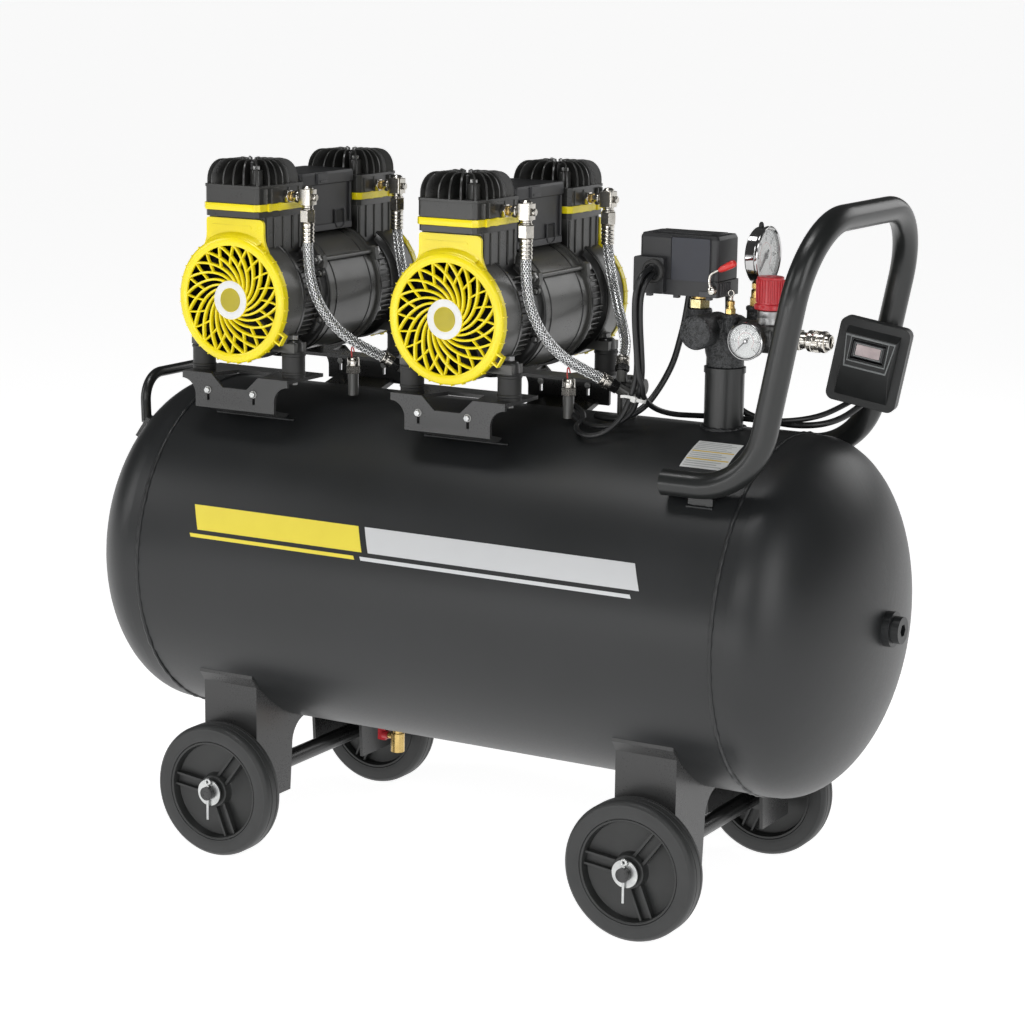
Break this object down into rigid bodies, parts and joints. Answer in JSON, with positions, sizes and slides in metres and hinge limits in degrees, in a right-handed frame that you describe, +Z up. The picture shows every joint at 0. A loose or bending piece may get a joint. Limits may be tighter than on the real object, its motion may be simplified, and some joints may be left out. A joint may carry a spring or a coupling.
{
  "type": "air_compressor",
  "caption": "Oil-free piston air compressor: twin-head electric pumps with yellow fan covers on a black wheeled horizontal tank, with push handle, gauges and switch.",
  "frame": {"origin": "on the ground under the middle of the tank", "axes": "+X along the tank towards the push handle, +Z up, -Y faces the front pump fans"},
  "size_m": [0.98, 0.391, 0.79],
  "materials": {
    "tank_paint": "semi-gloss black",
    "dark_paint": "satin black",
    "handle_paint": "semi-gloss black",
    "cast_black": "satin black over castings",
    "zinc": "satin zinc plate",
    "nickel": "polished nickel plate",
    "brass": "machined",
    "yellow_plastic": "gloss yellow",
    "black_plastic": "fine texture",
    "cable_black": "smooth",
    "braid": "braided wire",
    "rubber_black": "matte",
    "tyre": "matte",
    "red_plastic": "ribbed",
    "red_tip": "dipped",
    "aluminium": "cast",
    "steel": "turned",
    "gauge_case": "black case with a bright bezel",
    "rocker": "grey-pink window"
  },
  "bodies": {
    "chassis": {"tank_shell": "tank_paint", "tank_heads": "tank_paint", "end_plugs": "nickel", "legs": "dark_paint", "axles": "steel", "axle_retainers": "zinc", "pump_brackets": "dark_paint", "rubber_feet": "rubber_black", "crankcases": "cast_black", "cylinder_heads": "cast_black", "head_bands": "yellow_plastic", "fan_grilles": "yellow_plastic", "pistons": "aluminium", "motor_housings": "cast_black", "terminal_boxes": "black_plastic", "hose_fittings": "zinc", "air_collectors": "cast_black", "hose_front_left": "braid", "hose_front_right": "braid", "hose_rear_left": "braid", "hose_rear_right": "braid", "standpipe": "dark_paint", "manifold": "cast_black", "brass_fittings": "brass", "switch_base": "black_plastic", "switch_cover": "black_plastic", "tank_gauge": "gauge_case", "outlet_gauge": "gauge_case", "regulator_body": "aluminium", "coupler_body": "nickel", "safety_valve": "brass", "control_box": "black_plastic", "main_handle": "handle_paint", "rear_handle": "handle_paint", "drain_valve": "nickel", "pump_lead_left": "cable_black", "pump_lead_right": "cable_black", "power_lead": "cable_black", "control_lead": "cable_black", "control_cable": "cable_black"},
    "wheel_front_left": {"tyre_front_left": "tyre", "rim_front_left": "black_plastic"},
    "wheel_front_right": {"tyre_front_right": "tyre", "rim_front_right": "black_plastic"},
    "wheel_rear_left": {"tyre_rear_left": "tyre", "rim_rear_left": "black_plastic"},
    "wheel_rear_right": {"tyre_rear_right": "tyre", "rim_rear_right": "black_plastic"},
    "rotor_left": {"shaft_left": "steel", "fans_left": "black_plastic"},
    "rotor_right": {"shaft_right": "steel", "fans_right": "black_plastic"},
    "pressure_knob": {"regulator_knob": "red_plastic"},
    "auto_off_lever": {"switch_lever": "red_tip"},
    "tank_needle": {"tank_gauge_needle": "black_plastic"},
    "outlet_needle": {"outlet_gauge_needle": "black_plastic"},
    "release_sleeve": {"coupler_sleeve": "nickel"},
    "relief_pull": {"safety_valve_ring": "zinc"},
    "rocker": {"rocker_switch": "rocker"},
    "drain_tap": {"drain_lever": "red_tip"}
  },
  "joints": [
    {"name": "wheel_front_left_spin", "type": "hinge", "parent": "chassis", "child": "wheel_front_left", "pos_m": [-0.2665, 0, 0.0767], "axis": [0, 1, 0], "continuous": true},
    {"name": "wheel_front_right_spin", "type": "hinge", "parent": "chassis", "child": "wheel_front_right", "pos_m": [0.2665, 0, 0.0767], "axis": [0, 1, 0], "continuous": true},
    {"name": "wheel_rear_left_spin", "type": "hinge", "parent": "chassis", "child": "wheel_rear_left", "pos_m": [-0.2665, 0, 0.0767], "axis": [0, 1, 0], "continuous": true},
    {"name": "wheel_rear_right_spin", "type": "hinge", "parent": "chassis", "child": "wheel_rear_right", "pos_m": [0.2665, 0, 0.0767], "axis": [0, 1, 0], "continuous": true},
    {"name": "rotor_left_spin", "type": "hinge", "parent": "chassis", "child": "rotor_left", "pos_m": [-0.264, 0, 0.6357], "axis": [0, 1, 0], "continuous": true},
    {"name": "rotor_right_spin", "type": "hinge", "parent": "chassis", "child": "rotor_right", "pos_m": [0.014, 0, 0.6357], "axis": [0, 1, 0], "continuous": true},
    {"name": "pressure_knob_turn", "type": "hinge", "parent": "chassis", "child": "pressure_knob", "pos_m": [0.334, -0.018, 0.66], "axis": [0, 0, 1], "range_deg": [0, 900]},
    {"name": "auto_off_lever_swing", "type": "hinge", "parent": "chassis", "child": "auto_off_lever", "pos_m": [0.278, -0.0435, 0.675], "axis": [0, 1, 0], "range_deg": [-25, 20]},
    {"name": "tank_needle_sweep", "type": "hinge", "parent": "chassis", "child": "tank_needle", "pos_m": [0.316, 0.016, 0.709], "axis": [1, 0, 0], "range_deg": [-270, 0]},
    {"name": "outlet_needle_sweep", "type": "hinge", "parent": "chassis", "child": "outlet_needle", "pos_m": [0.322, -0.052, 0.6265], "axis": [0, 1, 0], "range_deg": [0, 270]},
    {"name": "release_sleeve_slide", "type": "slide", "parent": "chassis", "child": "release_sleeve", "axis": [-1, 0, 0], "range_m": [0, 0.005], "stiffness_N_per_m": 300},
    {"name": "relief_pull_slide", "type": "slide", "parent": "chassis", "child": "relief_pull", "axis": [0, 0, 1], "range_m": [0, 0.003], "stiffness_N_per_m": 500},
    {"name": "rocker_tilt", "type": "hinge", "parent": "chassis", "child": "rocker", "pos_m": [0.39817, 0.10114, 0.60413], "axis": [0.9683, 0.1707, -0.1822], "range_deg": [-8, 8]},
    {"name": "drain_tap_turn", "type": "hinge", "parent": "chassis", "child": "drain_tap", "pos_m": [-0.15, 0, 0.118], "axis": [1, 0, 0], "range_deg": [0, 90]}
  ]
}
